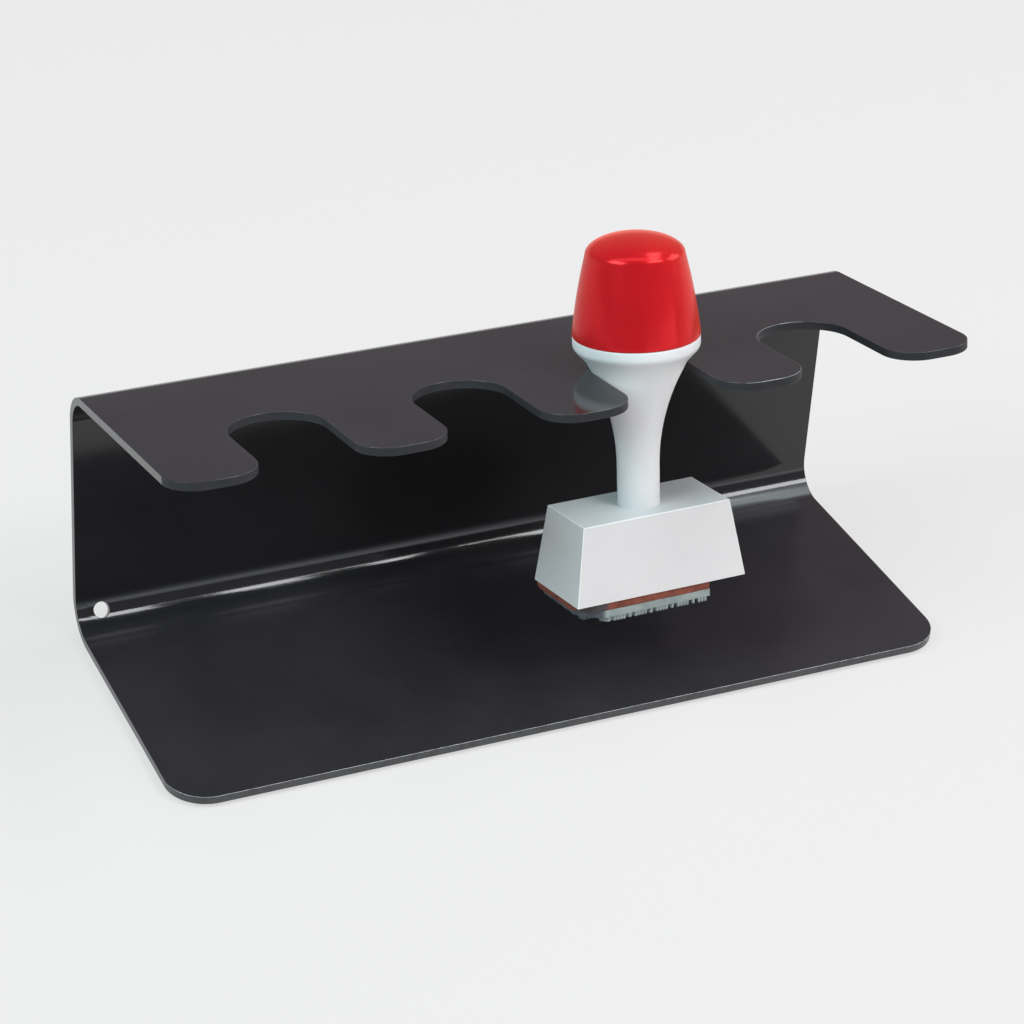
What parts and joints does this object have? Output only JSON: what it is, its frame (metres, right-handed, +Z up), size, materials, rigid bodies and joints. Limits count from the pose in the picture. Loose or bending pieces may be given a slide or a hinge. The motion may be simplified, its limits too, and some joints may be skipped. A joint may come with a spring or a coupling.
{
  "type": "rubber stamp rack",
  "caption": "Desk rack folded from one black painted steel sheet, with open notches along a rising shelf and a red-capped hand stamp hanging in one of them.",
  "frame": {"origin": "middle of the footprint, on the surface that the foot pads stand on", "axes": "+X along the rack to the right, +Y from the open front to the back, +Z up"},
  "size_m": [0.2, 0.078, 0.111],
  "materials": {
    "black_paint": "glossy black stove paint, slightly soft at the edges",
    "pad_rubber": "matt stick-on pads",
    "grey_plastic": "pale grey moulded plastic, satin to glossy",
    "red_plastic": "glossy red moulded plastic",
    "screw_steel": "zinc plated",
    "cushion_rubber": "red-brown, matt, porous",
    "plate_rubber": "pale grey-green, matt"
  },
  "bodies": {
    "rack": {"rack_sheet": "black_paint", "foot_pad_front_left": "pad_rubber", "foot_pad_front_right": "pad_rubber", "foot_pad_back_left": "pad_rubber", "foot_pad_back_right": "pad_rubber"},
    "stamp": {"stamp_handle": "grey_plastic", "stamp_mount": "grey_plastic", "mount_screw": "screw_steel", "die_cushion": "cushion_rubber", "text_plate": "plate_rubber"},
    "cap": {"handle_cap": "red_plastic"}
  },
  "joints": [
    {"name": "stamp_slide", "type": "slide", "parent": "rack", "child": "stamp", "axis": [0, -0.9744, 0.225], "range_m": [0, 0.06]},
    {"name": "cap_pull", "type": "slide", "parent": "stamp", "child": "cap", "axis": [0.0105, 0.2249, 0.9743], "range_m": [0, 0.025]}
  ]
}
